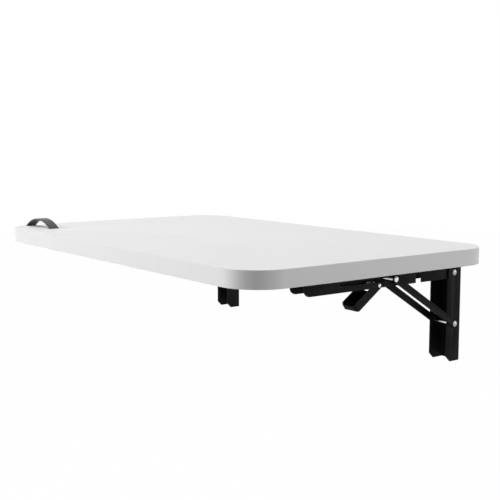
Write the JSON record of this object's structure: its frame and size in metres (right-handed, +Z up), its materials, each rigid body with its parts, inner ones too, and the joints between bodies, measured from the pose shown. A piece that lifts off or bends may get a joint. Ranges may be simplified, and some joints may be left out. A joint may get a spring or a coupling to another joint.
{
  "type": "wall-mounted folding table",
  "caption": "White rounded board on two black steel folding brackets that fix to a wall; it folds down flat, and a strap handle arches over its left front corner.",
  "frame": {"origin": "middle of the four outer wall screw holes, on the wall face", "axes": "+X along the wall to the right as seen from the front, +Y into the wall, +Z up"},
  "size_m": [0.8, 0.493, 0.2145],
  "materials": {
    "white_laminate": "matt white laminate with a fine pearl grain",
    "edge_band": "smooth white edge band",
    "board_core": "pressed wood fibre board, hidden by the laminates and the band",
    "strap": "black leather strap with burnished edges",
    "black_steel": "satin black powder coat with a fine orange peel",
    "zinc_steel": "bright zinc plate",
    "spring_steel": "drawn spring wire",
    "screw_steel": "zinc plated screw"
  },
  "bodies": {
    "wall": {"wall_channel_right": "black_steel", "wall_channel_left": "black_steel", "top_pivot_rivet_right": "zinc_steel", "top_pivot_rivet_left": "zinc_steel", "strut_pivot_rivet_right": "zinc_steel", "strut_pivot_rivet_left": "zinc_steel"},
    "table": {"board_core": "board_core", "top_laminate": "white_laminate", "bottom_laminate": "white_laminate", "edge_band": "edge_band", "strap_handle": "strap", "arm_right": "black_steel", "arm_left": "black_steel", "lever_rivet_right": "zinc_steel", "lever_rivet_left": "zinc_steel", "board_screws_right": "screw_steel", "board_screws_left": "screw_steel"},
    "strut_right": {"strut_right": "black_steel", "strut_rivets_right": "zinc_steel"},
    "strut_left": {"strut_left": "black_steel", "strut_rivets_left": "zinc_steel"},
    "lock_pin_right": {"lock_pin_right": "zinc_steel"},
    "lock_pin_left": {"lock_pin_left": "zinc_steel"},
    "release_lever_right": {"release_lever_right": "black_steel", "lever_spring_right": "spring_steel"},
    "release_lever_left": {"release_lever_left": "black_steel", "lever_spring_left": "spring_steel"}
  },
  "joints": [
    {"name": "table_fold", "type": "hinge", "parent": "wall", "child": "table", "pos_m": [0, -0.0175, 0.0766], "axis": [1, 0, 0], "range_deg": [0, 90]},
    {"name": "strut_right_swing", "type": "hinge", "parent": "wall", "child": "strut_right", "pos_m": [0.3116, -0.0175, -0.0092], "axis": [1, 0, 0], "range_deg": [0, 121.51]},
    {"name": "lock_pin_right_slide", "type": "slide", "parent": "table", "child": "lock_pin_right", "axis": [0, -1, 0], "range_m": [0, 0.11096]},
    {"name": "release_lever_right_press", "type": "hinge", "parent": "table", "child": "release_lever_right", "pos_m": [0.3116, -0.1875, 0.0706], "axis": [-1, 0, 0], "range_deg": [0, 32]},
    {"name": "strut_left_swing", "type": "hinge", "parent": "wall", "child": "strut_left", "pos_m": [-0.3116, -0.0175, -0.0092], "axis": [1, 0, 0], "range_deg": [0, 121.51]},
    {"name": "lock_pin_left_slide", "type": "slide", "parent": "table", "child": "lock_pin_left", "axis": [0, -1, 0], "range_m": [0, 0.11096]},
    {"name": "release_lever_left_press", "type": "hinge", "parent": "table", "child": "release_lever_left", "pos_m": [-0.3116, -0.1875, 0.0706], "axis": [-1, 0, 0], "range_deg": [0, 32]}
  ],
  "couplings": [
    {"joint": "strut_right_swing", "follows": "table_fold", "ratio": 1.3501},
    {"joint": "lock_pin_right_slide", "follows": "table_fold", "m_per_rad": 0.070639},
    {"joint": "release_lever_right_press", "follows": "table_fold", "ratio": 0.35556},
    {"joint": "strut_left_swing", "follows": "table_fold", "ratio": 1.3501},
    {"joint": "lock_pin_left_slide", "follows": "table_fold", "m_per_rad": 0.070639},
    {"joint": "release_lever_left_press", "follows": "table_fold", "ratio": 0.35556}
  ]
}
